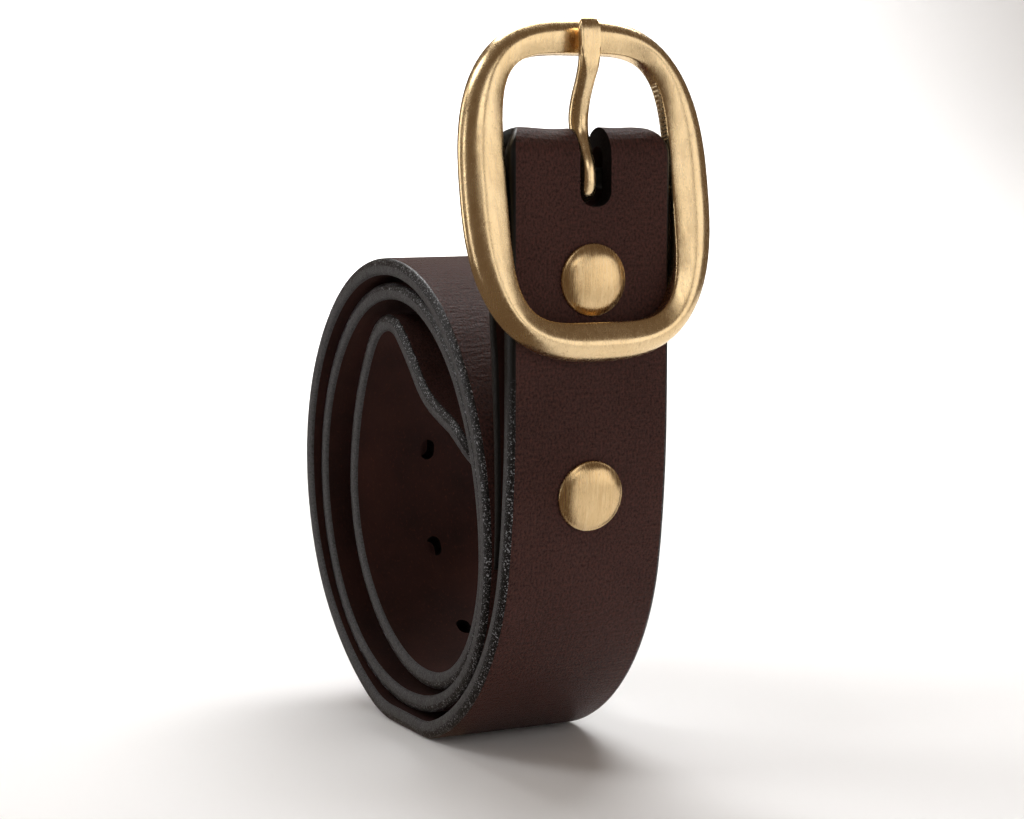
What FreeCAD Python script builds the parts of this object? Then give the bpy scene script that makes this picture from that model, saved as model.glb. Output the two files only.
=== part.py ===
import FreeCAD, Part
import math
import os

# Rolled leather dress belt with a centre-bar buckle. Millimetres, +Z up.
# Origin: on the surface the roll stands on, at the middle of the belt's
# bounding box. X runs across the strap, Y from the buckle back through the
# roll. In the functions below "y" is measured from the front face of the
# strap's straight front run, which stands at FRONT_Y.

# ---- driving dimensions ----
FRONT_Y = -54.24          # front face of the upright front run
STRAP_W = 38.1            # 1.5 in strap
STRAP_T = 4.0
HALF_T = STRAP_T / 2

# fold round the centre bar
FOLD_Z = 132.2            # where the fold's arcs spring from
FOLD_TAB_FLESH_Y = 8.8    # flesh side of the turned-back tab at the fold
FOLD_TAB_GRAIN_Y = 11.4   # grain side of the tab at the fold (skived thinner)
RUN_END_Z = 80.07         # lower end of the straight front run; sets the roll down on z = 0

# the roll: tangent arcs of the strap's middle line, from the front run down,
# under, up the back and inwards. (turn in degrees, radius); a turn of 0 is a
# straight run of that length. A minus turn bends the other way.
ROLL = [
    # outer turn: down the front, under, up the back and over
    (10, 200), (60, 55), (20, 20), (0, 16), (20, 30), (26, 67), (92, 52), (90, 46), (44, 64),
    # middle turn
    (13, 56), (38, 35), (28, 41), (26, 58), (126, 48), (62, 38), (30, 46), (34, 65),
    # inner turn
    (36, 36), (52, 28), (22, 39), (34, 45), (42, 40), (30, 60),
    # the end hooks over, runs to the front of the inner turn and turns down along it
    (15, 20), (80, 10), (7, 108), (-27, 25), (-2, 232), (62, 10), (0, 12),
]

# turned-back tab: (y, z) down its flesh side, then up its grain side
TAB_FLESH = [(8.7, 118.0), (8.6, 107.0), (8.4, 97.0), (7.4, 89.5), (6.85, 82.0),
             (6.4, 73.0), (6.2, 62.0), (6.55, 53.0), (7.6, 45.5)]
TAB_GRAIN = [(8.5, 45.0), (8.35, 53.0), (8.4, 62.0), (8.75, 73.0), (9.3, 82.0),
             (10.0, 89.9), (10.9, 98.0), (11.1, 107.0), (11.25, 118.0)]

# prong slot, adjusting holes and tip
SLOT_W = 9.0
SLOT_END_Z = 122.0
HOLE_W = 3.5
HOLE_L = 5.0
HOLE_COUNT = 5
HOLE_PITCH = 25.4
HOLE_FROM_TIP = 104.0
TIP_LENGTH = 20.0
TIP_NOSE_R = 7.0

# press studs (line 24), depths measured inwards from the strap's front face
CAP_R = 7.7
CAP_RISE = 2.5
CAP_RIM = 0.9
SNAP_GRIP = 4.6           # between the two leather seats
SOCKET_R = 6.2
STUD_R = 5.8
POST_FLANGE_R = 4.8
POST_FLANGE_T = 0.7
# (name, height, depth of the socket seat, depth of the rear flange's seat)
SNAPS = [("upper", 106.7, 4.0, 11.0), ("lower", 60.8, 1.9, 7.4)]

# buckle
BAR_Y = 6.4
BAR_Z = 127.8
BAR_R = 2.3
BAR_HALF_L = 24.6
BUCKLE_TILT = 9.5         # the top leans back
FRAME_HALF_X = 29.6
FRAME_HALF_Z = 36.5
FRAME_POWER = 2.6
WINDOW_HALF_X = 20.4
WINDOW_HALF_Z = 28.3
WINDOW_POWER = 4.46
FRAME_T = 5.2
FRAME_DROP = 2.7          # frame's centre below the bar's axis
FRAME_SET = 4.33          # frame's middle plane in front of the bar's axis
EAR_R = 3.7
EAR_OUTER_X = 27.6
STRAP_RELIEF = 0.15

# prong
PRONG_BORE_R = 2.35
PRONG_EYE_R = 4.7
PRONG_EYE_HALF = 2.0
PRONG_FRONT = [(2.9, 131.7), (5.2, 135.9), (6.1, 140.1), (4.8, 144.3),
               (2.2, 148.4), (0.3, 152.9), (0.9, 158.7)]
PRONG_TIP = [(1.7, 160.9), (3.4, 161.4), (4.55, 160.5)]
PRONG_BACK = [(4.2, 157.8), (3.45, 153.0), (5.6, 148.7), (8.1, 144.3), (9.2, 140.1), (8.9, 134.5)]
PRONG_TIP_HALF = 2.6
PRONG_ROOT_HALF = 1.6

GAP = 0.05


def vec(x, y, z):
    """A point, with y measured from the front run's outer face."""
    return FreeCAD.Vector(x, FRONT_Y + y, z)


def roll_arcs():
    """Start point, heading and turn of every arc of the strap's middle line.

    Heading 0 is straight down and grows as the strap turns towards the back.
    """
    arcs = []
    y, z, heading = HALF_T, RUN_END_Z, 0.0
    for turn, size in ROLL:
        arcs.append((y, z, heading, math.radians(turn), size))
        y, z, heading = along(arcs[-1], 1.0)
    return arcs


def along(arc, share):
    """Point and heading at a share of an arc's length."""
    y, z, heading, turn, size = arc
    if turn == 0:
        step = size * share
        return y + step * math.sin(heading), z - step * math.cos(heading), heading
    radius = math.copysign(size, turn)
    end = heading + turn * share
    centre_y = y + radius * math.cos(heading)
    centre_z = z + radius * math.sin(heading)
    return centre_y - radius * math.cos(end), centre_z - radius * math.sin(end), end


def arc_length(arc):
    """Length of one arc or straight run."""
    turn, size = arc[3], arc[4]
    return size if turn == 0 else abs(turn) * size


def station(distance):
    """Middle-line point and heading at a distance from the front run's end."""
    for arc in roll_arcs():
        length = arc_length(arc)
        if distance <= length:
            return along(arc, distance / length)
        distance -= length
    return along(roll_arcs()[-1], 1.0)


def offset_point(place, offset):
    """Point beside the middle line; a plus offset is towards the grain side."""
    y, z, heading = place
    return vec(0, y - offset * math.cos(heading), z - offset * math.sin(heading))


def side_edges(offset):
    """Edges of one face of the strap, from the fold to the tip."""
    front_y = HALF_T - offset
    edges = [Part.LineSegment(vec(0, front_y, FOLD_Z), vec(0, front_y, RUN_END_Z)).toShape()]
    for arc in roll_arcs():
        start = offset_point(along(arc, 0.0), offset)
        middle = offset_point(along(arc, 0.5), offset)
        end = offset_point(along(arc, 1.0), offset)
        if arc[3] == 0:
            edges.append(Part.LineSegment(start, end).toShape())
        else:
            edges.append(Part.Arc(start, middle, end).toShape())
    return edges


def spline_edge(points):
    """A smooth edge through (y, z) points."""
    curve = Part.BSplineCurve()
    curve.interpolate([vec(0, y, z) for y, z in points])
    return curve.toShape()


def fold_edge(y_front, y_back):
    """Half circle over the fold between two faces of the leather."""
    middle = (y_front + y_back) / 2
    top = vec(0, middle, FOLD_Z + (y_back - y_front) / 2)
    return Part.Arc(vec(0, y_front, FOLD_Z), top, vec(0, y_back, FOLD_Z)).toShape()


def strap_profile():
    """The strap's whole edge-on outline as a face in the plane x = 0."""
    edges = side_edges(HALF_T)
    tip = along(roll_arcs()[-1], 1.0)
    edges.append(Part.LineSegment(offset_point(tip, HALF_T), offset_point(tip, -HALF_T)).toShape())
    edges += side_edges(-HALF_T)
    edges.append(fold_edge(STRAP_T, FOLD_TAB_FLESH_Y))
    edges.append(spline_edge([(FOLD_TAB_FLESH_Y, FOLD_Z)] + TAB_FLESH))
    edges.append(Part.LineSegment(vec(0, *TAB_FLESH[-1]), vec(0, *TAB_GRAIN[0])).toShape())
    edges.append(spline_edge(TAB_GRAIN + [(FOLD_TAB_GRAIN_Y, FOLD_Z)]))
    edges.append(fold_edge(0.0, FOLD_TAB_GRAIN_Y))
    return Part.Face(Part.Wire(Part.__sortEdges__(edges)))


def into_place(shape, place):
    """Move a shape built on +Z so that +Z points inwards through the strap."""
    y, z, heading = place
    axis = FreeCAD.Vector(1, 0, 0)
    shape.rotate(FreeCAD.Vector(0, 0, 0), axis, math.degrees(heading) - 90.0)
    shape.translate(vec(0, y, z))
    return shape


def obround(half_width, length, depth):
    """Obround cutter, long side on Y, centred on the origin."""
    straight = length - 2 * half_width
    body = Part.makeBox(2 * half_width, straight, depth,
                        FreeCAD.Vector(-half_width, -straight / 2, -depth / 2))
    for side in (-1, 1):
        centre = FreeCAD.Vector(0, side * straight / 2, -depth / 2)
        body = body.fuse(Part.makeCylinder(half_width, depth, centre))
    return body.removeSplitter()


def roll_length():
    """Length of the middle line from the front run's end to the tip."""
    return sum(arc_length(arc) for arc in roll_arcs())


def hole_cutters():
    """The adjusting holes, counted back from the tip."""
    cutters = []
    for index in range(HOLE_COUNT):
        place = station(roll_length() - HOLE_FROM_TIP - index * HOLE_PITCH)
        cutters.append(into_place(obround(HOLE_W / 2, HOLE_L, STRAP_T + 1.0), place))
    return cutters


def slot_cutter():
    """The prong's slot, up the front, over the fold and down the back."""
    half = SLOT_W / 2
    low = SLOT_END_Z + half
    box = Part.makeBox(SLOT_W, 20.0, 20.0, vec(-half, -4.0, low))
    end = Part.makeCylinder(half, 20.0, vec(0, -4.0, low), FreeCAD.Vector(0, 1, 0))
    return box.fuse(end).removeSplitter()


def tip_cutter():
    """What is cut away beside the pointed tip."""
    half = STRAP_W / 2
    depth = STRAP_T + 0.6
    nose = TIP_NOSE_R
    flank = FreeCAD.Vector(nose * 0.8, -nose * 0.4, 0)
    mirror = FreeCAD.Vector(-flank.x, flank.y, 0)
    start = FreeCAD.Vector(half + 1, -TIP_LENGTH - 1.0, 0)
    finish = FreeCAD.Vector(-half - 1, -TIP_LENGTH - 1.0, 0)
    right = Part.Arc(start, FreeCAD.Vector(half * 0.78, -TIP_LENGTH * 0.5, 0), flank)
    crown = Part.Arc(flank, FreeCAD.Vector(0, 0, 0), mirror)
    left = Part.Arc(mirror, FreeCAD.Vector(-half * 0.78, -TIP_LENGTH * 0.5, 0), finish)
    base = Part.LineSegment(finish, start)
    outline = Part.Wire([curve.toShape() for curve in (right, crown, left, base)])
    keep = Part.Face(outline).extrude(FreeCAD.Vector(0, 0, depth))
    block = Part.makeBox(2 * half + 2, TIP_LENGTH, depth,
                         FreeCAD.Vector(-half - 1, -TIP_LENGTH, 0))
    cutter = block.cut(keep)
    cutter.translate(FreeCAD.Vector(0, 0, -depth / 2))
    cutter.rotate(FreeCAD.Vector(0, 0, 0), FreeCAD.Vector(0, 0, 1), 180.0)
    return into_place(cutter, along(roll_arcs()[-1], 1.0))


def snap_place(height):
    """Point on the strap's front face and heading at a press stud."""
    y, z, heading = HALF_T, height, 0.0
    if height < RUN_END_Z:
        y, z, heading = station(RUN_END_Z - height)
    return y - HALF_T * math.cos(heading), z - HALF_T * math.sin(heading), heading


def snap_cutters(height, socket_seat, rear_seat):
    """Seats and through holes of one press stud in the leather."""
    stud_seat = socket_seat + SNAP_GRIP
    parts = [
        Part.makeCylinder(2.1, rear_seat + 4.0, FreeCAD.Vector(0, 0, -2.0)),
        Part.makeCylinder(CAP_R + 0.1, 2.0, FreeCAD.Vector(0, 0, -2.0)),
        Part.makeCylinder(SOCKET_R + 0.3, SNAP_GRIP, FreeCAD.Vector(0, 0, socket_seat)),
        Part.makeCylinder(POST_FLANGE_R + 0.2, 2.0, FreeCAD.Vector(0, 0, rear_seat)),
    ]
    assert stud_seat < rear_seat
    return [into_place(part, snap_place(height)) for part in parts]


def make_strap():
    """One piece of leather: roll, front run, fold and turned-back tab."""
    face = strap_profile()
    face.translate(FreeCAD.Vector(-STRAP_W / 2, 0, 0))
    strap = face.extrude(FreeCAD.Vector(STRAP_W, 0, 0))
    cutters = hole_cutters() + [slot_cutter(), tip_cutter()]
    for _, height, socket_seat, rear_seat in SNAPS:
        cutters += snap_cutters(height, socket_seat, rear_seat)
    for cutter in cutters:
        strap = strap.cut(cutter)
    return strap


def turned(points):
    """Revolve a closed (radius, depth) outline about the stud's axis."""
    corners = [FreeCAD.Vector(r, 0, d) for r, d in points]
    wire = Part.makePolygon(corners + [corners[0]])
    return Part.Face(wire).revolve(FreeCAD.Vector(0, 0, 0), FreeCAD.Vector(0, 0, 1), 360)


def snap_cap(height, socket_seat):
    """Domed cap with its post, riveted over inside the socket."""
    rise = CAP_RISE - CAP_RIM
    dome_r = (CAP_R ** 2 + rise ** 2) / (2 * rise)
    half = math.asin(CAP_R / dome_r) / 2
    rim = FreeCAD.Vector(CAP_R, 0, 0)
    rim_top = FreeCAD.Vector(CAP_R, 0, -CAP_RIM)
    dome = FreeCAD.Vector(dome_r * math.sin(half), 0, dome_r * (1 - math.cos(half)) - CAP_RISE)
    crown = FreeCAD.Vector(0, 0, -CAP_RISE)
    edges = [
        Part.LineSegment(FreeCAD.Vector(0, 0, 0), rim).toShape(),
        Part.LineSegment(rim, rim_top).toShape(),
        Part.Arc(rim_top, dome, crown).toShape(),
        Part.LineSegment(crown, FreeCAD.Vector(0, 0, 0)).toShape(),
    ]
    head = Part.Face(Part.Wire(edges))
    head = head.revolve(FreeCAD.Vector(0, 0, 0), FreeCAD.Vector(0, 0, 1), 360)
    post = Part.makeCylinder(2.0, socket_seat + 0.9)
    rivet = turned([(0, socket_seat + 0.9), (2.6, socket_seat + 0.9),
                    (2.2, socket_seat + 1.3), (0, socket_seat + 1.4)])
    return into_place(head.fuse([post, rivet]).removeSplitter(), snap_place(height))


def snap_socket(height, socket_seat):
    """Socket on the flesh side of the front run."""
    shape = turned([(2.05, 0), (SOCKET_R, 0), (SOCKET_R, 0.5), (5.2, 0.9), (4.9, 3.2),
                    (4.4, 3.4), (2.95, 3.2), (2.95, 2.8), (3.5, 2.5), (3.5, 0.9), (2.05, 0.9)])
    shape.translate(FreeCAD.Vector(0, 0, socket_seat))
    return into_place(shape, snap_place(height))


def snap_stud(height, socket_seat):
    """Stud on the flesh side of the tab, pressed into the socket."""
    low = SNAP_GRIP
    shape = turned([(1.65, low), (STUD_R, low), (STUD_R, low - 0.5), (2.7, low - 0.8),
                    (2.7, low - 1.6), (2.9, low - 2.0), (2.6, low - 2.9), (1.65, low - 3.0)])
    shape.translate(FreeCAD.Vector(0, 0, socket_seat))
    return into_place(shape, snap_place(height))


def snap_post(height, socket_seat, rear_seat):
    """Eyelet that holds the stud, flange on the grain side of the tab."""
    outer = rear_seat + POST_FLANGE_T
    tube_end = socket_seat + SNAP_GRIP - 2.9
    shape = turned([(0.9, tube_end), (1.6, tube_end), (1.6, rear_seat),
                    (POST_FLANGE_R, rear_seat), (POST_FLANGE_R - 0.3, outer - 0.1),
                    (2.0, outer), (0.9, outer - 0.5)])
    return into_place(shape, snap_place(height))


def superellipse(half_x, half_z, power, count=48):
    """Closed smooth wire |x/a|^n + |z/b|^n = 1 in the plane y = 0."""
    points = []
    for step in range(count):
        angle = 2 * math.pi * step / count
        c, s = math.cos(angle), math.sin(angle)
        x = math.copysign(abs(c) ** (2 / power), c) * half_x
        z = math.copysign(abs(s) ** (2 / power), s) * half_z
        points.append(FreeCAD.Vector(x, 0, z))
    curve = Part.BSplineCurve()
    curve.interpolate(points, PeriodicFlag=True)
    return Part.Wire(curve.toShape())


def tilted(shape):
    """From the upright buckle, bar's axis on X through the origin, to its place."""
    origin = FreeCAD.Vector(0, 0, 0)
    shape.rotate(origin, FreeCAD.Vector(1, 0, 0), -BUCKLE_TILT)
    shape.translate(vec(0, BAR_Y, BAR_Z))
    return shape


def frame_ear(side):
    """Ear behind one side member that carries the bar's end."""
    inner = WINDOW_HALF_X + 0.2
    start = inner if side > 0 else -EAR_OUTER_X
    length = EAR_OUTER_X - inner
    along_x = FreeCAD.Vector(1, 0, 0)
    knuckle = Part.makeCylinder(EAR_R, length, FreeCAD.Vector(start, 0, 0), along_x)
    root = Part.makeBox(length, FRAME_SET, 2 * EAR_R,
                        FreeCAD.Vector(start, -FRAME_SET, -EAR_R))
    return knuckle.fuse(root)


def make_frame():
    """Cast frame: soft front edges, window, ears, seat for the strap."""
    outer = Part.Face(superellipse(FRAME_HALF_X, FRAME_HALF_Z, FRAME_POWER))
    window = Part.Face(superellipse(WINDOW_HALF_X, WINDOW_HALF_Z, WINDOW_POWER))
    thickness = FreeCAD.Vector(0, FRAME_T, 0)
    frame = outer.extrude(thickness).cut(window.extrude(thickness))
    front = [edge for edge in frame.Edges if edge.BoundBox.YMax < 0.01]
    back = [edge for edge in frame.Edges if edge.BoundBox.YMin > FRAME_T - 0.01]
    rim = max(front, key=lambda edge: edge.Length)
    inner = min(front, key=lambda edge: edge.Length)
    frame = frame.makeFillet(3.0, [rim])
    frame = frame.makeFillet(1.2, [near(frame, inner)])
    frame = frame.makeFillet(0.8, [near(frame, edge) for edge in back])
    frame.translate(FreeCAD.Vector(0, -FRAME_SET - FRAME_T / 2, -FRAME_DROP))
    for side in (-1, 1):
        frame = frame.fuse(frame_ear(side))
    bore = Part.makeCylinder(BAR_R, 2 * BAR_HALF_L, FreeCAD.Vector(-BAR_HALF_L, 0, 0),
                             FreeCAD.Vector(1, 0, 0))
    frame = tilted(frame.removeSplitter().cut(bore))
    relief = Part.makeBox(STRAP_W + 0.6, 12.0, 44.0,
                          vec(-STRAP_W / 2 - 0.3, -STRAP_RELIEF, BAR_Z - 44.0))
    return frame.cut(relief)


def near(shape, edge):
    """The edge of a shape with the same centre and length as a given edge."""
    def difference(other):
        shift = other.BoundBox.Center.sub(edge.BoundBox.Center).Length
        return shift + abs(other.Length - edge.Length)
    return min(shape.Edges, key=difference)


def make_bar():
    """Centre bar, its ends pressed into the ears."""
    bar = Part.makeCylinder(BAR_R, 2 * BAR_HALF_L, FreeCAD.Vector(-BAR_HALF_L, 0, 0),
                            FreeCAD.Vector(1, 0, 0))
    return tilted(bar)


def make_prong():
    """Prong: eye round the bar and a waved shank that lies on the top bar."""
    eye_front = (BAR_Y - PRONG_EYE_R, BAR_Z)
    eye_back = (BAR_Y + 1.2, BAR_Z + 4.5)
    front = spline_edge([eye_front] + PRONG_FRONT)
    tip = spline_edge([PRONG_FRONT[-1]] + PRONG_TIP)
    back = spline_edge([PRONG_TIP[-1]] + PRONG_BACK + [eye_back])
    close = Part.LineSegment(vec(0, *eye_back), vec(0, *eye_front)).toShape()
    profile = Part.Face(Part.Wire([front, tip, back, close]))
    profile.translate(FreeCAD.Vector(-5, 0, 0))
    shank = profile.extrude(FreeCAD.Vector(10, 0, 0)).common(prong_plan())
    along_x = FreeCAD.Vector(1, 0, 0)
    eye = Part.makeCylinder(PRONG_EYE_R, 2 * PRONG_EYE_HALF,
                            vec(-PRONG_EYE_HALF, BAR_Y, BAR_Z), along_x)
    bore = Part.makeCylinder(PRONG_BORE_R, 20.0, vec(-10, BAR_Y, BAR_Z), along_x)
    return shank.fuse(eye).cut(bore).removeSplitter()


def prong_plan():
    """Front outline of the prong, pushed through it front to back."""
    low, high, top = BAR_Z - 1.0, 157.5, 161.2
    corners = [
        (PRONG_ROOT_HALF, low), (PRONG_TIP_HALF, high),
        (0, top),
        (-PRONG_TIP_HALF, high), (-PRONG_ROOT_HALF, low),
    ]
    points = [vec(x, -5, z) for x, z in corners]
    edges = [
        Part.LineSegment(points[0], points[1]).toShape(),
        Part.Arc(points[1], points[2], points[3]).toShape(),
        Part.LineSegment(points[3], points[4]).toShape(),
        Part.LineSegment(points[4], points[0]).toShape(),
    ]
    return Part.Face(Part.Wire(edges)).extrude(FreeCAD.Vector(0, 25, 0))


def main():
    os.makedirs("parts", exist_ok=True)
    nodes = {
        "strap": make_strap(),
        "buckle_frame": make_frame(),
        "centre_bar": make_bar(),
        "prong": make_prong(),
    }
    for name, height, socket_seat, rear_seat in SNAPS:
        nodes["snap_cap_" + name] = snap_cap(height, socket_seat)
        nodes["snap_socket_" + name] = snap_socket(height, socket_seat)
        nodes["snap_stud_" + name] = snap_stud(height, socket_seat)
        nodes["snap_post_" + name] = snap_post(height, socket_seat, rear_seat)
    for name, shape in nodes.items():
        box = shape.BoundBox
        print("%-20s valid %s solids %d volume %9.1f  x %.2f %.2f  y %.2f %.2f  z %.2f %.2f" % (
            name, shape.isValid(), len(shape.Solids), shape.Volume,
            box.XMin, box.XMax, box.YMin, box.YMax, box.ZMin, box.ZMax))
        shape.exportStep("parts/%s.step" % name)


main()
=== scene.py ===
import math

import bpy
import bmesh
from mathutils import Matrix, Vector


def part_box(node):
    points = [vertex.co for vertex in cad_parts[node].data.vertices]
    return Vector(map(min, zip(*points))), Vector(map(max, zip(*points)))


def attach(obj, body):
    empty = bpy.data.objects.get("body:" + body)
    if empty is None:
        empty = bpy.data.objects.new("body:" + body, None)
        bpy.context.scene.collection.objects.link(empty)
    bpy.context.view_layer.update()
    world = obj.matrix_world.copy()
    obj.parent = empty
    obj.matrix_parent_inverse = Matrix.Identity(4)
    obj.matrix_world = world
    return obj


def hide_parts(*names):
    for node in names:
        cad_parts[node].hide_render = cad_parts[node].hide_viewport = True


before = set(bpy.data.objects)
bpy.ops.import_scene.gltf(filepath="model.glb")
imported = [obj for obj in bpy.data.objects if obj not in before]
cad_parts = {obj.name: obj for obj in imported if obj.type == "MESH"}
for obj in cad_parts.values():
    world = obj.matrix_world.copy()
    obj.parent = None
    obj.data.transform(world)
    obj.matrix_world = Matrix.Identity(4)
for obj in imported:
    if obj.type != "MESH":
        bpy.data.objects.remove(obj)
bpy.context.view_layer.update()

# Lengths in the functions below are millimetres, measured like the CAD:
# x across the strap, y from the strap's front face, z up. P() turns them
# into metres in the row frame.
STRAP_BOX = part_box("strap")
BAR_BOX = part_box("centre_bar")
FRONT_Y = STRAP_BOX[0].y * 1000
STRAP_EXTRA = 0.2         # the strap is this much wider than the CAD on each side
STRAP_HALF = STRAP_BOX[1].x * 1000 + STRAP_EXTRA
BAR_Y = (BAR_BOX[0].y + BAR_BOX[1].y) * 500 - FRONT_Y
BAR_Z = (BAR_BOX[0].z + BAR_BOX[1].z) * 500
TAU = 2 * math.pi

# ---- strap path, with the arcs of the CAD ----
HALF_T = 2.0              # half the leather's thickness
FOLD_Z = 132.2
FOLD_FLESH_R = 2.4
FOLD_GRAIN_R = 5.7
FOLD_STRETCH = 1.1        # the fold's outer face is this many times as tall as a half circle
RUN_END_Z = 80.07         # lower end of the straight front run
# arcs of the roll's middle line: (turn in degrees, radius), or (0, length) where straight
ROLL = [
    # outer turn: down the front, under, up the back and over
    (10, 200), (60, 55), (20, 20), (0, 16), (20, 30), (26, 67), (92, 52), (90, 46), (44, 64),
    # middle turn
    (13, 56), (38, 35), (28, 41), (26, 58), (126, 48), (62, 38), (30, 46), (34, 65),
    # inner turn
    (36, 36), (52, 28), (22, 39), (34, 45), (42, 40), (30, 60),
    # the end hooks over, runs to the front of the inner turn and turns down along it
    (15, 20), (80, 10), (7, 108), (-27, 25), (-2, 232), (62, 10), (0, 12),
]
# the turned-back end, down its flesh face and down its grain face: (y, z)
TAB_FLESH = [(8.8, 132.2), (8.7, 118.0), (8.6, 107.0), (8.4, 97.0), (7.4, 89.5),
             (6.85, 82.0), (6.4, 73.0), (6.2, 62.0), (6.55, 53.0), (7.6, 45.5)]
TAB_GRAIN = [(11.4, 132.2), (11.25, 118.0), (11.1, 107.0), (10.9, 98.0), (10.0, 89.9),
             (9.3, 82.0), (8.75, 73.0), (8.4, 62.0), (8.35, 53.0), (8.5, 45.0)]
# the slot sits a little to the right of the prong, and its end is a little squarer
# than a half circle
SLOT_HALF = 3.75
SLOT_SHIFT = 0.75
SLOT_END_Z = 122.0
SLOT_POWER = 2.4
# worn corners of the fold: they round off from CORNER_Z up, and CORNER_RISE higher
# the strap is CORNER_IN narrower on each side
CORNER_Z = 132.9
CORNER_RISE = 5.6
CORNER_IN = 3.4
HOLE_HALF = 1.75
HOLE_LENGTH = 5.0
HOLE_COUNT = 5
HOLE_PITCH = 25.4
HOLE_FROM_TIP = 104.0
# pointed end: a round nose, then a taper of (distance from the tip, half width)
TIP_LENGTH = 20.0
TIP_NOSE = 2.8
TIP_NOSE_HALF = 5.6
TIP_TAPER = [(2.8, 5.62), (5.0, 9.2), (8.0, 13.0), (11.0, 15.9), (14.0, 17.8),
             (17.0, 18.8), (TIP_LENGTH, STRAP_HALF)]
# the inner turns have slid a little along the roll's axis: (degrees turned, shift)
TELESCOPE = [(0, 0.0), (270, 0.3), (360, 0.8), (500, 1.7), (720, 2.6), (1010, 3.2)]

# ---- buckle, in the plane of the frame, bar's axis at the origin ----
BUCKLE_TILT = math.radians(9.5)
FRAME_HALF = (29.6, 36.5)
FRAME_POWER = 2.6
WINDOW_HALF = (19.6, 28.3)
WINDOW_POWER = 4.46
FRAME_DROP = 2.7
FRAME_BACK = -1.73
SIDE_DEPTH = 1.9          # the side members' inner half reaches this much further back
# section of a frame member: (share of the width from the window outwards,
# height above the back face)
FRAME_SECTION = [
    (0.10, 0.0), (0.03, 0.25), (0.0, 0.9), (0.0, 2.1), (0.0, 3.2), (0.02, 3.66),
    (0.06, 3.9), (0.16, 4.22), (0.3, 4.6), (0.42, 4.9), (0.5, 5.04), (0.57, 5.07),
    (0.65, 4.95), (0.73, 4.66), (0.81, 4.2), (0.885, 3.6), (0.945, 2.9), (0.985, 2.1),
    (1.0, 1.4), (0.985, 0.7), (0.94, 0.2), (0.87, 0.0), (0.5, 0.0),
]

# ears that carry the bar: round end and flat root, and (x, scale) of the sections
EAR_RADIUS = 3.7
EAR_ROOT_HALF = 4.6
EAR_ROOT_DEPTH = FRAME_BACK - 0.8
EAR_SECTIONS = [(20.3, 0.82), (20.5, 0.94), (21.0, 1.0), (24.2, 1.0), (24.9, 0.93), (25.1, 0.8)]

# press studs: (name, height, depth of the socket seat, depth of the rear seat)
SNAPS = [("upper", 106.7, 4.0, 11.0), ("lower", 60.8, 1.9, 7.4)]
SEAT_RADIUS, SEAT_DEPTH = 6.5, 4.6
REAR_RADIUS, REAR_DEPTH = 5.0, 1.5
# half section of a cap: (radius, depth behind the front face)
CAP_PROFILE = [
    (0.0, -2.45), (1.5, -2.42), (3.0, -2.32), (4.4, -2.12), (5.5, -1.85), (6.3, -1.5),
    (6.9, -1.12), (7.25, -0.82), (7.42, -0.74), (7.56, -0.66), (7.66, -0.46),
    (7.69, -0.25), (7.62, -0.06), (7.45, 0.02), (0.0, 0.02),
]

# prong: centre line (y, z) in the plane x = 0, with half width and half thickness,
# from the curl inside the fold to the tip
PRONG = [
    (9.4, 131.2, 1.2, 0.9), (9.5, 129.6, 1.35, 1.0), (9.4, 127.8, 1.45, 1.1),
    (8.4, 125.2, 1.7, 1.2), (5.6, 124.1, 1.85, 1.3), (3.2, 124.7, 1.95, 1.5),
    (2.2, 127.0, 1.8, 1.5), (2.5, 130.4, 1.75, 1.55), (4.2, 133.8, 1.85, 1.7),
    (6.0, 137.2, 2.0, 1.9), (6.5, 140.6, 2.15, 2.0), (5.6, 144.3, 2.15, 1.95),
    (3.7, 148.2, 2.15, 1.85), (2.1, 151.6, 2.35, 1.85), (1.6, 154.6, 2.45, 1.8),
    (1.6, 157.6, 2.5, 1.7), (1.8, 159.6, 2.4, 1.5), (2.3, 160.8, 1.9, 1.1),
    (2.7, 161.35, 0.9, 0.5),
]
# flat filed on the prong's tip: its lower point, its run-in, and the share filed away
FACET_Z = 150.2
FACET_RUN = 5.0
FACET_SHARE = 0.52

BLACK = (0.0, 0.0, 0.0)
WHITE = (1.0, 1.0, 1.0)


def P(x, y, z):
    """Millimetres from the strap's front face to metres in the row frame."""
    return Vector((x, FRONT_Y + y, z)) / 1000


def lerp_table(table, value):
    """Straight-line reading of a table of (position, result) pairs."""
    if value <= table[0][0]:
        return table[0][1]
    for (a, fa), (b, fb) in zip(table, table[1:]):
        if value <= b:
            return fa + (fb - fa) * (value - a) / (b - a)
    return table[-1][1]


def smooth_line(points, step):
    """Evenly spaced points on a Catmull-Rom curve through the given points."""
    dense = []
    parts = 24
    last = len(points) - 1
    for i in range(last):
        a, b, c, d = (points[max(i - 1, 0)], points[i], points[i + 1], points[min(i + 2, last)])
        for k in range(parts):
            t = k / parts
            dense.append([
                0.5 * (2 * q + (r - p) * t + (2 * p - 5 * q + 4 * r - s) * t * t
                       + (3 * q - p - 3 * r + s) * t ** 3)
                for p, q, r, s in zip(a, b, c, d)
            ])
    dense.append(list(points[-1]))
    length = [0.0]
    for p, q in zip(dense, dense[1:]):
        length.append(length[-1] + math.dist(p[:2], q[:2]))
    count = max(2, round(length[-1] / step))
    out, j = [], 0
    for i in range(count + 1):
        want = length[-1] * i / count
        while j < len(length) - 2 and length[j + 1] < want:
            j += 1
        span = length[j + 1] - length[j]
        t = (want - length[j]) / span if span else 0.0
        out.append([p + (q - p) * t for p, q in zip(dense[j], dense[j + 1])])
    return out


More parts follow.
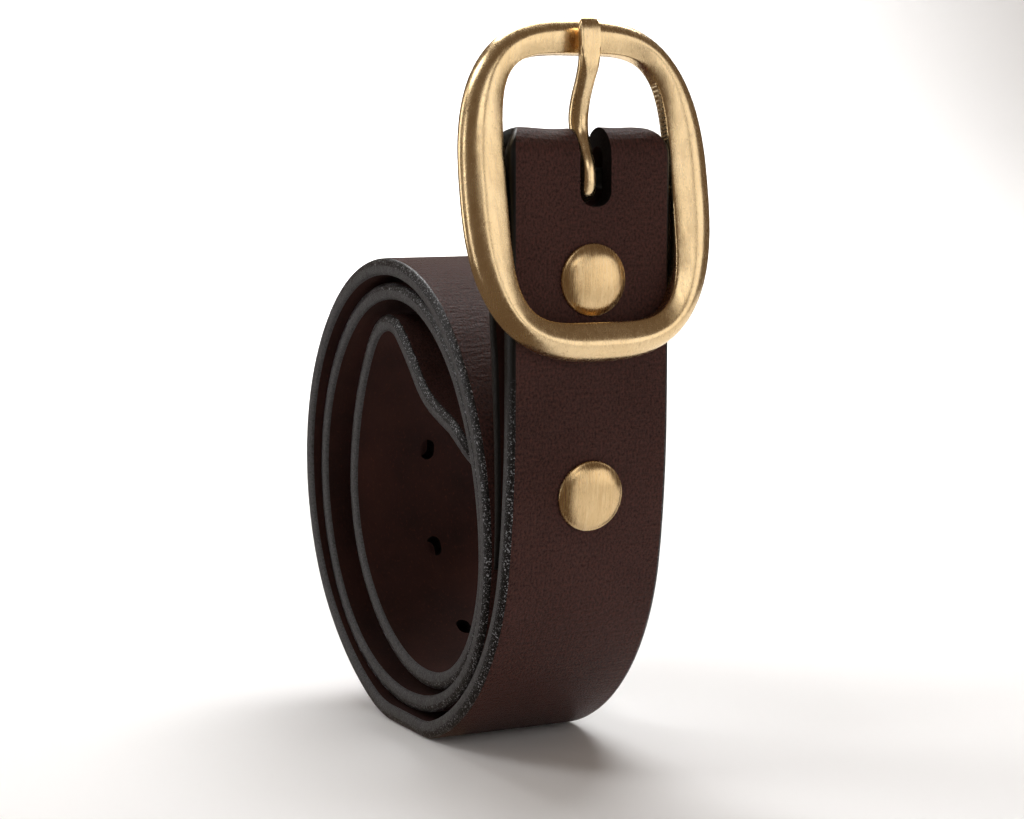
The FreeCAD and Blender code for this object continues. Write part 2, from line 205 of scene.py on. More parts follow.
def mesh_object(name, verts, faces, materials, body, face_materials=None):
    """A new smooth-shaded mesh piece in metres that rides on a body."""
    mesh = bpy.data.meshes.new(name)
    mesh.from_pydata([tuple(v) for v in verts], [], faces)
    for material in materials:
        mesh.materials.append(material)
    if face_materials:
        mesh.polygons.foreach_set("material_index", face_materials)
    mesh.polygons.foreach_set("use_smooth", [True] * len(mesh.polygons))
    mesh.update()
    obj = bpy.data.objects.new(name, mesh)
    bpy.context.scene.collection.objects.link(obj)
    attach(obj, body)
    return obj


# ---------------------------------------------------------------- the strap

def follow(y, z, heading, turn, size, share):
    """(y, z, heading) after a share of one arc, or of a straight when turn is 0."""
    if turn == 0:
        return y + size * share * math.sin(heading), z - size * share * math.cos(heading), heading
    radius = math.copysign(size, turn)
    end = heading + math.radians(turn) * share
    return (y + radius * (math.cos(heading) - math.cos(end)),
            z + radius * (math.sin(heading) - math.sin(end)), end)


def roll_stations(step):
    """(y, z, heading, length so far) down the roll's middle line."""
    y, z, heading, run = HALF_T, RUN_END_Z, 0.0, 0.0
    out = []
    for turn, size in ROLL:
        length = size if turn == 0 else abs(math.radians(turn)) * size
        count = max(2, round(length / step))
        for k in range(count):
            share = k / count
            out.append((*follow(y, z, heading, turn, size, share), run + length * share))
        y, z, heading = follow(y, z, heading, turn, size, 1.0)
        run += length
    out.append((y, z, heading, run))
    return out


def tip_half_width(from_tip):
    """Half width of the strap near its pointed tip."""
    if from_tip >= TIP_LENGTH:
        return STRAP_HALF
    if from_tip < TIP_NOSE:
        return TIP_NOSE_HALF * math.sqrt(max(0.0, 1 - (1 - from_tip / TIP_NOSE) ** 2)) + 0.02
    return lerp_table(TIP_TAPER, from_tip)


def fold_half_width(height):
    """Half width of the strap at the fold, where the corners are worn round."""
    rise = min(1.0, max(0.0, (height - CORNER_Z) / CORNER_RISE))
    return STRAP_HALF - CORNER_IN * (1 - math.sqrt(1 - rise * rise))


def strap_stations(step=1.3):
    """Grain point, flesh point, sideways shift, half width and length along the
    leather, from the end of the turned-back tab to the tip."""
    rows = []
    flesh = smooth_line(TAB_FLESH, step)
    grain = smooth_line(TAB_GRAIN, step)
    count = min(len(flesh), len(grain)) - 1
    for i in range(count, -1, -1):
        f = flesh[round(i * (len(flesh) - 1) / count)]
        g = grain[round(i * (len(grain) - 1) / count)]
        rows.append((g, f, 0.0, None))
    parts = 14
    for i in range(1, parts):
        a = math.pi * i / parts
        g = (FOLD_GRAIN_R + FOLD_GRAIN_R * math.cos(a),
             FOLD_Z + FOLD_STRETCH * FOLD_GRAIN_R * math.sin(a))
        f = (BAR_Y + FOLD_FLESH_R * math.cos(a), FOLD_Z + FOLD_FLESH_R * math.sin(a))
        rows.append((g, f, 0.0, None))
    run = FOLD_Z - RUN_END_Z
    count = round(run / step)
    for i in range(count):
        z = FOLD_Z - run * i / count
        rows.append(((0.0, z), (2 * HALF_T, z), 0.0, None))
    roll = roll_stations(step)
    total = roll[-1][3]
    for y, z, heading, length in roll:
        n = (math.cos(heading) * HALF_T, math.sin(heading) * HALF_T)
        shift = lerp_table(TELESCOPE, math.degrees(heading))
        rows.append(((y - n[0], z - n[1]), (y + n[0], z + n[1]), shift, total - length))
    out, along, last = [], 0.0, None
    for g, f, shift, from_tip in rows:
        middle = ((g[0] + f[0]) / 2, (g[1] + f[1]) / 2)
        if last:
            along += math.dist(middle, last)
        last = middle
        half = fold_half_width(g[1]) if from_tip is None else tip_half_width(from_tip)
        out.append((g, f, shift, half, along))
    return out


# edge of the leather: (distance in from the edge, share from flesh 0 to grain 1)
EDGE = [(1.6, 1.0), (1.15, 0.988), (0.78, 0.95), (0.48, 0.88), (0.26, 0.79), (0.12, 0.68),
        (0.05, 0.57), (0.0, 0.44), (0.02, 0.32), (0.1, 0.2), (0.28, 0.1), (0.55, 0.04),
        (0.9, 0.01), (1.35, 0.0)]
BEVEL_FACES = 5
GRAIN_CUTS = 14


def strap_section(half):
    """(x, share from flesh to grain, material) round the section. The material is that
    of the face from this point to the next: 0 grain, 1 painted edge, 2 flesh, 4 bevel;
    3 is kept for the walls of the cut holes."""
    inset = min(1.0, half / 3)
    edge = [(half - d * inset, t) for d, t in EDGE]
    kinds = [0] + [4] * BEVEL_FACES + [1] * (len(edge) - BEVEL_FACES - 3) + [2, 2]
    points = [(x, t, kind) for (x, t), kind in zip(edge, kinds)]
    x_flesh = edge[-1][0]
    for k in range(1, GRAIN_CUTS):
        points.append((x_flesh * (1 - 2 * k / GRAIN_CUTS), 0.0, 2))
    left = [(-x, t) for x, t in reversed(edge)]
    points += [(x, t, kind) for (x, t), kind in zip(left, kinds[-2::-1] + [0])]
    x_grain = edge[0][0]
    for k in range(1, GRAIN_CUTS):
        points.append((-x_grain * (1 - 2 * k / GRAIN_CUTS), 1.0, 0))
    return points


def wobble(along, seed):
    """Slow, small unevenness of hand-cut leather, about -1 to 1."""
    return (math.sin(along / 37.0 + seed) + 0.6 * math.sin(along / 17.3 + 2.1 * seed)
            + 0.35 * math.sin(along / 7.9 + 3.7 * seed)) / 1.95


def uneven(x, y, z, along, t):
    """Slight sag and lumps: the fold's crest, and pillows round the press studs."""
    if z > FOLD_Z + 2 and y < 12:
        ripple = 0.22 * math.sin(x / 2.9 + 0.6)
        lump = 0.38 * math.exp(-((x - 12.0) / 3.2) ** 2)
        z += (ripple + lump) * t
    if t > 0.5 and y < 4:
        for _, height, _, _ in SNAPS:
            reach = math.hypot(x, z - height)
            y -= 0.16 * math.exp(-((reach - 11.0) / 2.6) ** 2)
    return y, z


def build_strap(materials):
    """The whole leather piece, holes and stud seats cut."""
    stations = strap_stations()
    ring = len(strap_section(STRAP_HALF))
    verts, uvs, faces, kinds = [], [], [], []
    for g, f, shift, half, along in stations:
        for i, (x, t, kind) in enumerate(strap_section(half)):
            side = 0.12 * wobble(along, 1.0 if x > 0 else 4.0) * abs(x) / STRAP_HALF
            y = f[0] + (g[0] - f[0]) * t
            z = f[1] + (g[1] - f[1]) * t
            y, z = uneven(x, y, z, along, t)
            verts.append(P(x + shift + side, y, z))
            uvs.append((along / 1000, x / 1000))
    for r in range(len(stations) - 1):
        for i in range(ring):
            j = (i + 1) % ring
            faces.append((r * ring + i, (r + 1) * ring + i, (r + 1) * ring + j, r * ring + j))
            kinds.append(strap_section(STRAP_HALF)[i][2])
    last = (len(stations) - 1) * ring
    faces.append(tuple(range(ring)))
    faces.append(tuple(last + i for i in reversed(range(ring))))
    kinds += [1, 1]
    obj = mesh_object("strap_leather", verts, faces, materials, "strap_body", kinds)
    layer = obj.data.uv_layers.new(name="along")
    for loop in obj.data.loops:
        layer.data[loop.index].uv = uvs[loop.vertex_index]
    fix_normals(obj)
    for cutter in strap_cutters(materials[3]):
        cut = obj.modifiers.new("cut", "BOOLEAN")
        cut.operation = "DIFFERENCE"
        cut.solver = "EXACT"
        cut.object = cutter
        cut.material_mode = "TRANSFER"
    bake(obj)
    smooth_by_angle(obj, 42.0)
    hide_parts("strap")


def fix_normals(obj):
    """Faces outwards."""
    bm = bmesh.new()
    bm.from_mesh(obj.data)
    bmesh.ops.recalc_face_normals(bm, faces=bm.faces)
    bm.to_mesh(obj.data)
    bm.free()


def bake(obj):
    """Modifiers into the mesh, and the boolean cutters away."""
    cutters = [m.object for m in obj.modifiers if m.type == "BOOLEAN"]
    graph = bpy.context.evaluated_depsgraph_get()
    mesh = bpy.data.meshes.new_from_object(obj.evaluated_get(graph))
    obj.modifiers.clear()
    obj.data = mesh
    mesh.name = obj.name
    for cutter in cutters:
        bpy.data.objects.remove(cutter)


def smooth_by_angle(obj, degrees):
    """Smooth shading, with edges over an angle kept sharp."""
    bm = bmesh.new()
    bm.from_mesh(obj.data)
    limit = math.radians(degrees)
    for edge in bm.edges:
        edge.smooth = edge.calc_face_angle(0.0) < limit
    for face in bm.faces:
        face.smooth = True
    bm.to_mesh(obj.data)
    bm.free()


def prism(name, outline, place, start, length, material, sideways=0.0):
    """Cutter: an (x, up) outline at (y, z, heading), drawn into the leather from a
    first depth over a length."""
    y, z, heading = place
    n = (math.cos(heading), math.sin(heading))
    up = (-n[1], n[0])
    count = len(outline)
    verts = []
    for d in (start, start + length):
        for x, h in outline:
            verts.append(P(x + sideways, y + n[0] * d + up[0] * h, z + n[1] * d + up[1] * h))
    faces = [tuple(range(count)), tuple(reversed(range(count, 2 * count)))]
    faces += [(i, count + i, count + (i + 1) % count, (i + 1) % count) for i in range(count)]
    mesh = bpy.data.meshes.new(name)
    mesh.from_pydata([tuple(v) for v in verts], [], faces)
    mesh.materials.append(material)
    obj = bpy.data.objects.new(name, mesh)
    bpy.context.scene.collection.objects.link(obj)
    fix_normals(obj)
    return obj


def obround(half, length, count=12):
    """Outline with round ends, long side up."""
    straight = length / 2 - half
    top = [(half * math.cos(a), straight + half * math.sin(a))
           for a in (math.pi * i / count for i in range(count + 1))]
    return top + [(-x, -y) for x, y in top]


def circle(radius, count=48):
    """Round outline."""
    return [(radius * math.cos(TAU * i / count), radius * math.sin(TAU * i / count))
            for i in range(count)]


def strap_cutters(material):
    """Prong slot, adjusting holes, and the studs' seats and holes."""
    cutters = []
    slot = [superellipse((SLOT_HALF, SLOT_HALF), SLOT_POWER, math.pi + math.pi * i / 16)
            for i in range(17)]
    above_fold = 20.0
    slot += [(SLOT_HALF, above_fold), (-SLOT_HALF, above_fold)]
    cutters.append(prism("slot", slot, (0, SLOT_END_Z + SLOT_HALF, 0.0), -4.0, 20.0, material,
                         SLOT_SHIFT))
    roll = roll_stations(0.5)
    total = roll[-1][3]
    for index in range(HOLE_COUNT):
        want = total - HOLE_FROM_TIP - index * HOLE_PITCH
        y, z, heading, _ = min(roll, key=lambda row: abs(row[3] - want))
        shift = lerp_table(TELESCOPE, math.degrees(heading))
        deep = HALF_T + 0.6
        cutters.append(prism("hole", obround(HOLE_HALF, HOLE_LENGTH), (y, z, heading),
                             -deep, 2 * deep, material, shift))
    for _, height, socket_seat, rear_seat in SNAPS:
        place = snap_place(height)
        cutters.append(prism("seat", circle(SEAT_RADIUS), place, socket_seat, SEAT_DEPTH,
                             material))
        cutters.append(prism("rear", circle(REAR_RADIUS), place, rear_seat, REAR_DEPTH,
                             material))
    return cutters


def snap_place(height):
    """Point on the front face and heading at a press stud."""
    if height >= RUN_END_Z:
        return 0.0, height, 0.0
    row = min(roll_stations(0.25), key=lambda r: abs(r[3] - (RUN_END_Z - height)))
    y, z, heading, _ = row
    return y - HALF_T * math.cos(heading), z - HALF_T * math.sin(heading), heading


# ---------------------------------------------------------------- the metal

def superellipse(half, power, angle):
    """Point on |x/a|^n + |z/b|^n = 1 in a direction."""
    c, s = math.cos(angle), math.sin(angle)
    r = (abs(c / half[0]) ** power + abs(s / half[1]) ** power) ** (-1 / power)
    return r * c, r * s


def tilted(x, depth, up):
    """From the buckle's own plane (bar's axis at 0) to metres."""
    c, s = math.cos(BUCKLE_TILT), math.sin(BUCKLE_TILT)
    return P(x, BAR_Y + depth * c + up * s, BAR_Z - depth * s + up * c)


def build_frame(material):
    """Cast frame: a closed sweep of the member's section between two outlines."""
    around, ring = 160, len(FRAME_SECTION)
    verts, uvs = [], []
    for i in range(around):
        angle = TAU * i / around
        outer = superellipse(FRAME_HALF, FRAME_POWER, angle)
        inner = superellipse(WINDOW_HALF, WINDOW_POWER, angle)
        sideways = min(1.0, max(0.0, (abs(inner[0]) / WINDOW_HALF[0] - 0.82) / 0.15))
        deep = SIDE_DEPTH * sideways * min(1.0, max(0.0, (6.0 - inner[1]) / 12.0))
        swell = 0.12 * math.sin(3 * angle + 0.7) + 0.08 * math.sin(5 * angle + 2.0)
        for share, height in FRAME_SECTION:
            x = inner[0] + (outer[0] - inner[0]) * share
            z = inner[1] + (outer[1] - inner[1]) * share
            if height > 1:
                lift = height * (1 + 0.02 * swell)
            else:
                lift = height - deep * max(0.0, 1 - 2 * share)
            verts.append(tilted(x, FRAME_BACK - lift, z - FRAME_DROP))
            uvs.append((i / around, share))
    faces = []
    for i in range(around):
        k = (i + 1) % around
        for j in range(ring):
            m = (j + 1) % ring
            faces.append((i * ring + j, i * ring + m, k * ring + m, k * ring + j))
    obj = mesh_object("buckle_frame_cast", verts, faces, [material], "buckle_body")
    layer = obj.data.uv_layers.new(name="round")
    for loop in obj.data.loops:
        layer.data[loop.index].uv = uvs[loop.vertex_index]
    fix_normals(obj)
    sub = obj.modifiers.new("soften", "SUBSURF")
    sub.levels = sub.render_levels = 1
    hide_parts("buckle_frame")


def build_ears(material):
    """The two ears behind the side members that carry the bar."""
    for side in (-1, 1):
        verts, faces = [], []
        outline = [(EAR_RADIUS * math.cos(a), EAR_RADIUS * math.sin(a))
                   for a in (-math.pi / 2 + math.pi * i / 16 for i in range(17))]
        outline += [(EAR_ROOT_DEPTH, EAR_ROOT_HALF), (EAR_ROOT_DEPTH, -EAR_ROOT_HALF)]
        count = len(outline)
        for x, scale in EAR_SECTIONS:
            for depth, up in outline:
                verts.append(tilted(side * x, depth * scale if depth > 0 else depth, up * scale))
        last = len(EAR_SECTIONS) - 1
        for r in range(last):
            for i in range(count):
                j = (i + 1) % count
                faces.append((r * count + i, r * count + j, (r + 1) * count + j, (r + 1) * count + i))
        faces.append(tuple(range(count)))
        faces.append(tuple(last * count + i for i in reversed(range(count))))
        obj = mesh_object("buckle_ear_" + ("left" if side < 0 else "right"), verts, faces,
                          [material], "buckle_body")
        fix_normals(obj)
        smooth_by_angle(obj, 50.0)


def tube(path, sides, section):
    """Rings round a path in the plane x = 0; section gives (x, outward) per angle."""
    verts = []
    for i, (y, z, half_x, half_t) in enumerate(path):
        y0, z0 = path[max(i - 1, 0)][:2]
        y1, z1 = path[min(i + 1, len(path) - 1)][:2]
        length = math.hypot(y1 - y0, z1 - z0)
        out = (-(z1 - z0) / length, (y1 - y0) / length)
        for k in range(sides):
            sx, so = section(TAU * k / sides, z)
            verts.append(P(half_x * sx, y + out[0] * half_t * so, z + out[1] * half_t * so))
    faces = []
    for i in range(len(path) - 1):
        for k in range(sides):
            m = (k + 1) % sides
            faces.append((i * sides + k, i * sides + m, (i + 1) * sides + m, (i + 1) * sides + k))
    faces.append(tuple(range(sides)))
    faces.append(tuple((len(path) - 1) * sides + k for k in reversed(range(sides))))
    return verts, faces


def prong_section(angle, z):
    """Round below, with a flat filed on the front near the tip."""
    x, out = math.cos(angle), math.sin(angle)
    flat = min(1.0, max(0.0, (z - FACET_Z) / FACET_RUN)) ** 0.8
    return x, min(out, 1.0 - FACET_SHARE * flat)


def build_prong(material):
    """Prong: curled round the bar below, a filed flat at its tip."""
    path = smooth_line(PRONG, 0.45)
    verts, faces = tube(path, 28, prong_section)
    obj = mesh_object("prong_cast", verts, faces, [material], "prong_body")
    fix_normals(obj)
    smooth_by_angle(obj, 38.0)
    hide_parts("prong")


def turned(name, profile, place, material, body, count=96):
    """A (radius, depth) profile turned about a press stud's axis."""
    y, z, heading = place
    n = (math.cos(heading), math.sin(heading))
    up = (-n[1], n[0])
    verts, faces = [], []
    for radius, depth in profile:
        for k in range(count):
            a = TAU * k / count
            x, h = max(radius, 0.001) * math.cos(a), max(radius, 0.001) * math.sin(a)
            verts.append(P(x, y + n[0] * depth + up[0] * h, z + n[1] * depth + up[1] * h))
    for r in range(len(profile) - 1):
        for k in range(count):
            m = (k + 1) % count
            faces.append((r * count + k, r * count + m, (r + 1) * count + m, (r + 1) * count + k))
    faces.append(tuple(range(count)))
    faces.append(tuple((len(profile) - 1) * count + k for k in reversed(range(count))))
    obj = mesh_object(name, verts, faces, [material], body)
    fix_normals(obj)
    smooth_by_angle(obj, 45.0)
    return obj


def build_caps(material):
    """Domed caps with a rolled rim."""
    for name, height, _, _ in SNAPS:
        obj = turned("cap_" + name, CAP_PROFILE, snap_place(height), material, "strap_body")
        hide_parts("snap_cap_" + name)


# ---------------------------------------------------------------- materials

def grey(value):
    """One value for all three colours."""
    return value, value, value


class Nodes:
    """Short way to build one material's node tree."""

    def __init__(self, name):
        self.material = bpy.data.materials.new(name)
        self.material.use_nodes = True
        self.tree = self.material.node_tree
        self.shader = self.tree.nodes["Principled BSDF"]

    def add(self, kind, **settings):
        node = self.tree.nodes.new("ShaderNode" + kind)
        for key, value in settings.items():
            if hasattr(node, key):
                setattr(node, key, value)
            else:
                node.inputs[key.replace("_", " ")].default_value = value
        return node

    def link(self, a, b):
        self.tree.links.new(a, b)

    def noise(self, vector, scale, detail=4.0, roughness=0.55):
        node = self.add("TexNoise", Scale=scale, Detail=detail, Roughness=roughness)
        self.link(vector, node.inputs["Vector"])
        return node.outputs["Fac"]

    def ramp(self, value, stops):
        node = self.add("ValToRGB")
        elements = node.color_ramp.elements
        while len(elements) < len(stops):
            elements.new(0.5)
        for element, (position, colour) in zip(elements, stops):
            element.position = position
            element.color = colour if len(colour) == 4 else (*colour, 1.0)
        self.link(value, node.inputs["Fac"])
        return node.outputs["Color"]

    def mix(self, factor, a, b, mode="MIX"):
        node = self.add("Mix", data_type="RGBA", blend_type=mode)
        for value, socket in ((factor, node.inputs[0]), (a, node.inputs[6]), (b, node.inputs[7])):
            if isinstance(value, bpy.types.NodeSocket):
                self.link(value, socket)
            else:
                socket.default_value = value if not isinstance(value, tuple) else (*value, 1.0)
        return node.outputs[2]

    def stretch(self, vector, scale):
        node = self.add("Mapping")
        node.inputs["Scale"].default_value = scale
        self.link(vector, node.inputs["Vector"])
        return node.outputs["Vector"]

    def bump(self, height, strength, distance, normal=None):
        node = self.add("Bump", Strength=strength, Distance=distance)
        self.link(height, node.inputs["Height"])
        if normal is not None:
            self.link(normal, node.inputs["Normal"])
        return node.outputs["Normal"]

    def math(self, operation, a, b=None):
        node = self.add("Math", operation=operation)
        for value, socket in ((a, node.inputs[0]), (b, node.inputs[1])):
            if isinstance(value, bpy.types.NodeSocket):
                self.link(value, socket)
            elif value is not None:
                socket.default_value = value
        return node.outputs[0]

    def finish(self, colour=None, roughness=None, normal=None, **constants):
        for value, name in ((colour, "Base Color"), (roughness, "Roughness"), (normal, "Normal")):
            if isinstance(value, bpy.types.NodeSocket):
                self.link(value, self.shader.inputs[name])
            elif value is not None:
                self.shader.inputs[name].default_value = value
        for key, value in constants.items():
            self.shader.inputs[key.replace("_", " ")].default_value = value
        return self.material


def grain_material():
    """Waxed dark-brown grain side: pores, fine creases, scuffs and a little red."""
    n = Nodes("leather_grain")
    uv = n.add("UVMap", uv_map="along").outputs["UV"]
    broad = n.noise(uv, 30.0, 5.0)
    pores = n.noise(n.stretch(uv, (1500.0, 1900.0, 1.0)), 1.0, 5.0, 0.7)
    crease = n.noise(n.stretch(uv, (1300.0, 230.0, 1.0)), 1.0, 4.0, 0.6)
    rub = n.noise(n.stretch(uv, (40.0, 2600.0, 1.0)), 1.0, 4.0, 0.7)
    spots = n.noise(uv, 240.0, 4.0, 0.7)
    colour = n.ramp(broad, [(0.3, (0.0560, 0.0260, 0.0220)), (0.7, (0.0820, 0.0370, 0.0310))])
    dark = n.ramp(pores, [(0.34, (0.35, 0.33, 0.33)), (0.52, WHITE)])
    colour = n.mix(1.0, colour, dark, "MULTIPLY")
    red = n.ramp(pores, [(0.5, BLACK), (0.72, WHITE)])
    colour = n.mix(n.math("MULTIPLY", red, 0.6), colour, (0.140, 0.0440, 0.0340))
    nicks = n.ramp(spots, [(0.70, BLACK), (0.76, WHITE)])
    colour = n.mix(n.math("MULTIPLY", nicks, 0.4), colour, (0.11, 0.020, 0.016))
    rough = n.ramp(pores, [(0.3, grey(0.30)), (0.75, grey(0.45))])
    normal = n.bump(pores, 1.0, 0.00045)
    normal = n.bump(crease, 0.8, 0.0005, normal)
    normal = n.bump(rub, 0.4, 0.0003, normal)
    normal = n.bump(broad, 0.6, 0.0016, normal)
    return n.finish(colour, rough, normal, Specular_IOR_Level=0.08)


def painted_fold_shade(n, tone):
    """Painted shade: the colour goes nearly black from the tab's end to beside the buckle, where
    little light gets in;
    the ramp's positions are metres along the leather."""
    split = n.add("SeparateXYZ")
    n.link(n.add("UVMap", uv_map="along").outputs["UV"], split.inputs[0])
    painted_shade_ramp = n.ramp(split.outputs[0], [(0.145, WHITE), (0.165, BLACK)])
    return n.mix(painted_shade_ramp, tone, (0.0022, 0.0020, 0.0020))


def edge_material():
    """Painted and burnished edge, where the paint beads on the fibres; the grey of the beads is
    partly the paint's own tone and partly painted sheen.
    """
    n = Nodes("leather_edge")
    place = n.add("TexCoord").outputs["Object"]
    beads = n.noise(place, 2300.0, 4.0, 0.75)
    clumps = n.noise(place, 600.0, 4.0, 0.6)
    # Partly painted sheen: the pale grey lightens the black paint to stand in for the sheen of its
    # burnish.
    tone = n.ramp(beads, [(0.35, (0.030, 0.030, 0.031)), (0.75, (0.125, 0.124, 0.128))])
    # Painted shade: the edge's colour goes nearly black near the fold.
    tone = painted_fold_shade(n, tone)
    rough = n.ramp(clumps, [(0.35, grey(0.32)), (0.7, grey(0.5))])
    normal = n.bump(beads, 0.8, 0.0003)
    normal = n.bump(clumps, 0.4, 0.0005, normal)
    return n.finish(tone, rough, normal, Specular_IOR_Level=0.32)


def bevel_material():
    """Black bevel between the grain and the edge, with pale specks painted into its colour: painted
    highlights where it sparkles.
    """
    n = Nodes("leather_bevel")
    place = n.add("TexCoord").outputs["Object"]
    beads = n.noise(place, 1900.0, 5.0, 0.8)
    tone = n.ramp(beads, [(0.45, (0.0020, 0.0019, 0.0020)), (0.8, (0.012, 0.011, 0.012))])
    specks = n.noise(place, 2200.0, 3.0, 0.8)
    # Painted highlight: pale specks in the base colour stand in for sparkle.
    painted_glint = n.ramp(specks, [(0.56, BLACK), (0.66, WHITE)])
    tone = n.mix(n.math("MULTIPLY", painted_glint, 0.7), tone, (0.60, 0.60, 0.63))
    # Painted shade: the bevel's colour, pale specks too, goes nearly black near the fold.
    tone = painted_fold_shade(n, tone)
    normal = n.bump(beads, 0.6, 0.00016)
    return n.finish(tone, 0.3, normal, Specular_IOR_Level=0.3)


def cut_material():
    """Raw walls of the punched holes and the slot, nearly black."""
    n = Nodes("leather_cut")
    fibres = n.noise(n.add("TexCoord").outputs["Object"], 1800.0, 4.0, 0.7)
    tone = n.ramp(fibres, [(0.4, (0.0022, 0.0014, 0.0013)), (0.8, (0.014, 0.007, 0.006))])
    return n.finish(tone, 0.9, n.bump(fibres, 0.6, 0.0003), Specular_IOR_Level=0.1)


def bar_painted_shade_material():
    """Near-black bar: painted shade, standing in for the shadow the bar lies in behind the fold."""
    n = Nodes("bar_painted_shade")
    marks = n.noise(n.add("TexCoord").outputs["Object"], 700.0, 4.0, 0.6)
    tone = n.ramp(marks, [(0.35, (0.004, 0.003, 0.002)), (0.8, (0.016, 0.011, 0.006))])
    return n.finish(tone, 0.55, n.bump(marks, 0.3, 0.0002), Metallic=0.7)


def flesh_material():
    """Dark dyed flesh side with short fibres."""
    n = Nodes("leather_flesh")
    uv = n.add("UVMap", uv_map="along").outputs["UV"]
    broad = n.noise(uv, 45.0, 4.0)
    fibre = n.noise(n.stretch(uv, (900.0, 1500.0, 1.0)), 1.0, 8.0, 0.75)
    colour = n.ramp(broad, [(0.35, (0.0250, 0.0110, 0.0095)), (0.7, (0.046, 0.0170, 0.0130))])
    orange = n.ramp(fibre, [(0.56, BLACK), (0.78, WHITE)])
    colour = n.mix(n.math("MULTIPLY", orange, 0.6), colour, (0.17, 0.046, 0.022))
    normal = n.bump(fibre, 0.5, 0.0004)
    return n.finish(colour, 0.9, normal, Specular_IOR_Level=0.12)


def brass_tone(n, place):
    """Golden base with tarnish in patches and specks."""
    cloud = n.noise(place, 70.0, 4.0)
    pits = n.noise(place, 1400.0, 3.0, 0.6)
    colour = n.ramp(cloud, [(0.3, (0.80, 0.585, 0.315)), (0.7, (0.90, 0.69, 0.41))])
    blotches = n.noise(place, 160.0, 5.0, 0.65)
    patch = n.ramp(blotches, [(0.56, BLACK), (0.74, WHITE)])
    colour = n.mix(n.math("MULTIPLY", patch, 0.16), colour, (0.50, 0.30, 0.14))
    stain = n.ramp(pits, [(0.30, WHITE), (0.40, BLACK)])
    return n.mix(n.math("MULTIPLY", stain, 0.3), colour, (0.30, 0.17, 0.08))


def cast_material():
    """Satin cast brass: soft waves and rub marks, and file ribs on a short stretch of
    the window's right side."""
    n = Nodes("cast_brass")
    place = n.add("TexCoord").outputs["Object"]
    colour = brass_tone(n, place)
    rub = n.noise(n.stretch(place, (900.0, 900.0, 160.0)), 1.0, 5.0, 0.75)
    rough = n.ramp(rub, [(0.3, grey(0.20)), (0.75, grey(0.34))])
    normal = n.bump(rub, 0.12, 0.00012)
    normal = n.bump(n.noise(place, 90.0, 2.0), 0.3, 0.0007, normal)
    uv = n.add("UVMap", uv_map="round").outputs["UV"]
    split = n.add("SeparateXYZ")
    n.link(uv, split.inputs[0])
    inner = n.ramp(split.outputs[1], [(0.004, WHITE), (0.012, BLACK)])
    here = n.ramp(split.outputs[0], [(0.075, BLACK), (0.085, WHITE),
                                     (0.135, WHITE), (0.145, BLACK)])
    wave = n.math("SINE", n.math("MULTIPLY", split.outputs[0], TAU * 200))
    ribs = n.math("MULTIPLY", wave, n.math("MULTIPLY", inner, here))
    normal = n.bump(ribs, 0.8, 0.0004, normal)
    return n.finish(colour, rough, normal, Metallic=1.0)


def stud_material():
    """Brass caps with straight vertical brush marks."""
    n = Nodes("stud_brass")
    place = n.add("TexCoord").outputs["Object"]
    colour = brass_tone(n, place)
    brush = n.noise(n.stretch(place, (2600.0, 500.0, 120.0)), 1.0, 5.0, 0.75)
    tone = n.ramp(brush, [(0.35, (0.80, 0.74, 0.66)), (0.7, WHITE)])
    colour = n.mix(1.0, colour, tone, "MULTIPLY")
    rough = n.ramp(brush, [(0.3, grey(0.20)), (0.75, grey(0.34))])
    normal = n.bump(brush, 0.3, 0.00012)
    return n.finish(colour, rough, normal, Metallic=1.0)


# ---------------------------------------------------------------- the set

def floor_piece(name, profile, width, material):
    """One strip of the floor: a profile of (y, z) drawn out between two x."""
    verts = [(x, y, z) for y, z in profile for x in width]
    faces = [(2 * i, 2 * i + 1, 2 * i + 3, 2 * i + 2) for i in range(len(profile) - 1)]
    mesh = bpy.data.meshes.new(name)
    mesh.from_pydata(verts, [], faces)
    mesh.materials.append(material)
    mesh.polygons.foreach_set("use_smooth", [True] * len(faces))
    piece = bpy.data.objects.new(name, mesh)
    bpy.context.scene.collection.objects.link(piece)
    return piece


def build_floor():
    """Plain pale floor that curves up behind the object. Only the part near the
    object shows in mirror reflections, as if dark cloths hid the rest."""
    n = Nodes("floor_pale")
    cloud = n.noise(n.add("TexCoord").outputs["Object"], 3.0, 3.0)
    tone = n.ramp(cloud, [(0.0, (0.92, 0.92, 0.92)), (1.0, (0.95, 0.95, 0.95))])
    material = n.finish(tone, 0.9, None, Specular_IOR_Level=0.05)
    left, right, front, back = -0.01, 0.6, -0.6, 0.3
    side, far_front = 3.5, -2.5
    radius, curve_start, wall_top = 0.5, 1.6, 3.5
    curve = [(curve_start + radius * math.sin(a), radius - radius * math.cos(a))
             for a in (math.pi / 2 * i / 12 for i in range(13))]
    floor_piece("floor_near", [(front, 0.0), (back, 0.0)], (left, right), material)
    for name, profile, width in (
            ("floor_front", [(far_front, 0.0), (front, 0.0)], (-side, side)),
            ("floor_left", [(front, 0.0), (back, 0.0)], (-side, left)),
            ("floor_right", [(front, 0.0), (back, 0.0)], (right, side)),
            ("floor_back", [(back, 0.0)] + curve + [(2.1, wall_top)], (-side, side))):
        floor_piece(name, profile, width, material).visible_glossy = False


def area_light(name, place, target, size, watts):
    """Soft box aimed at a point."""
    data = bpy.data.lights.new(name, "AREA")
    data.shape = "RECTANGLE"
    data.size, data.size_y = size
    data.energy = watts
    light = bpy.data.objects.new(name, data)
    light.location = place
    light.rotation_euler = (Vector(target) - Vector(place)).to_track_quat("-Z", "Y").to_euler()
    bpy.context.scene.collection.objects.link(light)
    return light


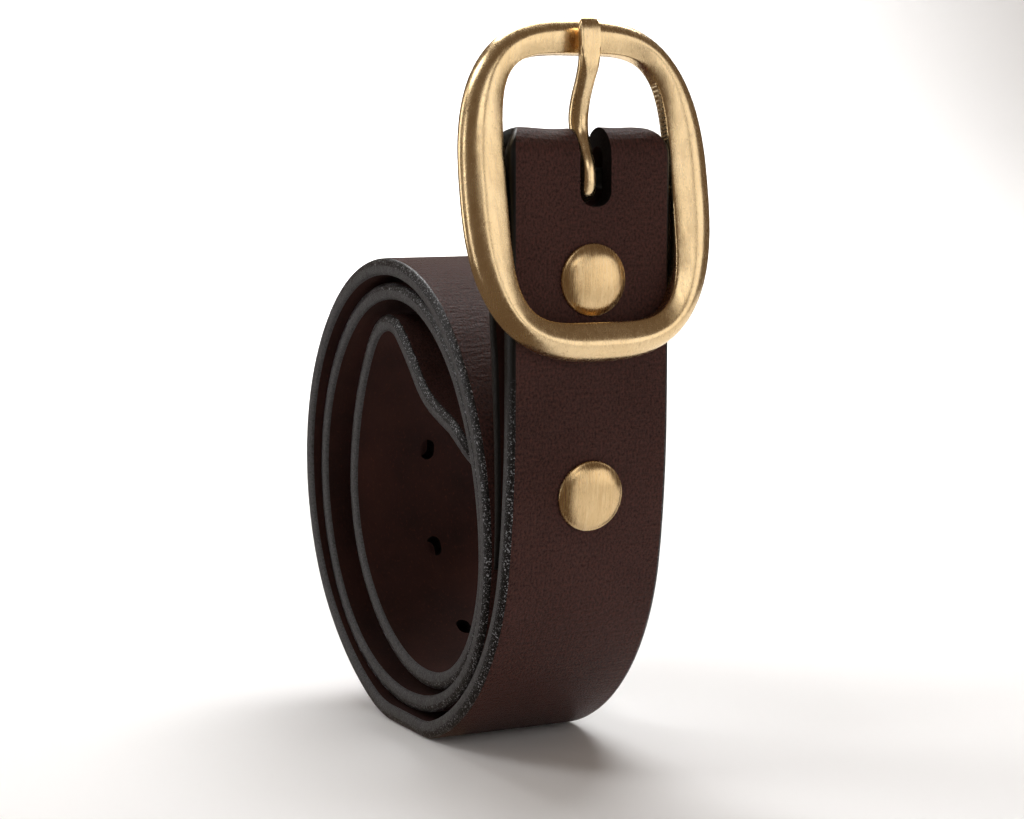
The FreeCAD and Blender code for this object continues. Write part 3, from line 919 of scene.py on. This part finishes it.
def build_lights():
    """Soft studio light: front, top and side boxes, and one that whitens the backdrop."""
    middle = (0.0, -0.02, 0.08)
    area_light("front_right", (0.78, -0.92, 0.2), middle, (0.95, 0.8), 2.8)
    area_light("front", (0.1, -1.22, 0.25), middle, (0.3, 0.7), 0.8)
    area_light("front_high", (-0.16, -1.0, 0.66), middle, (0.5, 0.3), 0.8)
    area_light("left_strip", (-1.1, -0.12, 0.25), middle, (0.12, 0.8), 1.0)
    area_light("left_back", (-1.0, 0.75, 0.35), middle, (0.3, 0.9), 2.2)
    area_light("left_high", (-0.56, 0.22, 0.78), middle, (0.35, 0.3), 1.6)
    area_light("top", (0.25, 0.42, 0.8), middle, (0.7, 0.5), 7.8)
    backdrop = area_light("backdrop", (0.0, 0.9, 1.5), (0.0, 1.7, 0.3), (2.4, 0.8), 40.0)
    backdrop.data.spread = math.radians(100)
    world = bpy.data.worlds.new("studio")
    bpy.context.scene.world = world
    world.use_nodes = True
    background = world.node_tree.nodes["Background"]
    background.inputs["Color"].default_value = (1.0, 0.72, 0.50, 1.0)
    background.inputs["Strength"].default_value = 0.13


CAMERA_PLACE = (-242.5, -440.4, 135.9)
CAMERA_AIM = (-18.98, 0.0, 80.21)
LENS_MM = 84.0


def build_camera():
    """The photograph's viewing angle."""
    data = bpy.data.cameras.new("camera")
    data.lens = LENS_MM
    data.sensor_width = 36.0
    camera = bpy.data.objects.new("camera", data)
    camera.location = P(*CAMERA_PLACE)
    aim = P(*CAMERA_AIM) - P(*CAMERA_PLACE)
    camera.rotation_euler = aim.to_track_quat("-Z", "Y").to_euler()
    bpy.context.scene.collection.objects.link(camera)
    bpy.context.scene.camera = camera


def main():
    view = bpy.context.scene.view_settings
    view.view_transform = "Standard"
    grain, edge, flesh = grain_material(), edge_material(), flesh_material()
    build_strap([grain, edge, flesh, cut_material(), bevel_material()])
    cast, stud = cast_material(), stud_material()
    build_frame(cast)
    build_ears(cast)
    build_prong(cast)
    build_caps(stud)
    bar = bar_painted_shade_material()
    for name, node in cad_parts.items():
        material = cast
        if name.startswith("snap_"):
            material = stud
        # Painted shade: the bar gets a near-black colour where it lies in the fold's shadow.
        elif name == "centre_bar":
            material = bar
        if node.material_slots:
            node.material_slots[0].material = material
    build_floor()
    build_lights()
    build_camera()


main()
